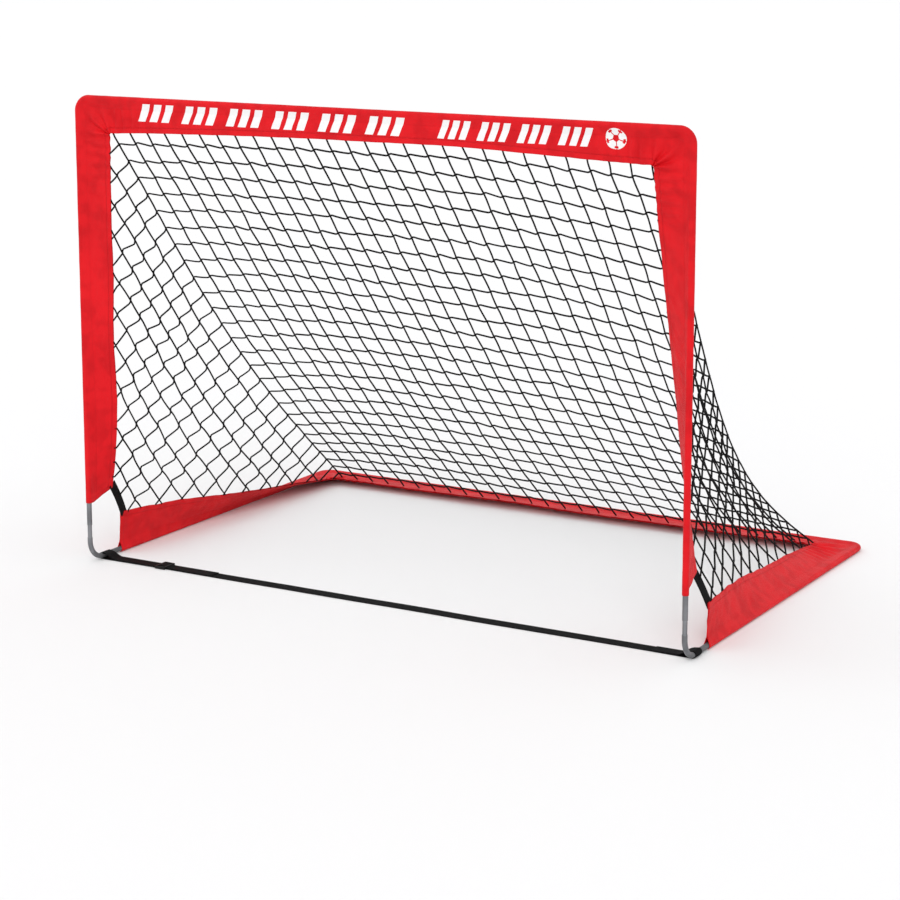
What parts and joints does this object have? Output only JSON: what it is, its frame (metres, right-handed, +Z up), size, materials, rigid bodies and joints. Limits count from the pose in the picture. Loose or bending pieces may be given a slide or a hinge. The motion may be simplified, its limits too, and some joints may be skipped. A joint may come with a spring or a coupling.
{
  "type": "soccer goal frame",
  "caption": "Small portable soccer goal: push-fit steel tube frame in fabric sleeves, with a sloping knotted net, corner webbing and a ground strap.",
  "frame": {"origin": "middle of the goal line, on the ground, under the ground strap", "axes": "+Z up, +Y from the goal mouth to the back, +X along the goal line to the right as seen from in front"},
  "size_m": [1.22, 0.8199, 0.87],
  "materials": {
    "steel_tube": "satin",
    "red_fabric": "matte",
    "net_cord": "matte",
    "black_webbing": "matte",
    "slider_plastic": "satin"
  },
  "bodies": {
    "ground_frame": {"foot_elbow_left": "steel_tube", "side_tube_front_left": "steel_tube", "side_tube_rear_left": "steel_tube", "side_sleeve_left": "red_fabric", "corner_web_left": "black_webbing", "foot_elbow_right": "steel_tube", "side_tube_front_right": "steel_tube", "side_tube_rear_right": "steel_tube", "side_sleeve_right": "red_fabric", "corner_web_right": "black_webbing", "net_back": "net_cord", "net_side_left": "net_cord", "net_side_right": "net_cord", "ground_strap": "black_webbing"},
    "arch": {"post_tube_lower_left": "steel_tube", "post_tube_upper_left": "steel_tube", "post_sleeve_left": "red_fabric", "post_tube_lower_right": "steel_tube", "post_tube_upper_right": "steel_tube", "post_sleeve_right": "red_fabric"},
    "top_unit": {"top_elbow_left": "steel_tube", "top_tube_left": "steel_tube", "top_elbow_right": "steel_tube", "top_tube_right": "steel_tube", "top_sleeve": "red_fabric"},
    "rear_unit": {"rear_elbow_left": "steel_tube", "rear_tube_left": "steel_tube", "rear_elbow_right": "steel_tube", "rear_tube_right": "steel_tube", "rear_sleeve": "red_fabric"},
    "slider": {"strap_slider": "slider_plastic"}
  },
  "joints": [
    {"name": "arch_lift", "type": "slide", "parent": "ground_frame", "child": "arch", "axis": [0, 0, 1], "range_m": [0, 0.06]},
    {"name": "top_lift", "type": "slide", "parent": "arch", "child": "top_unit", "axis": [0, 0, 1], "range_m": [0, 0.06]},
    {"name": "rear_pull", "type": "slide", "parent": "ground_frame", "child": "rear_unit", "axis": [0, 1, 0], "range_m": [0, 0.06]},
    {"name": "slider_shift", "type": "slide", "parent": "ground_frame", "child": "slider", "axis": [1, 0, 0], "range_m": [-0.06, 0.08]}
  ]
}
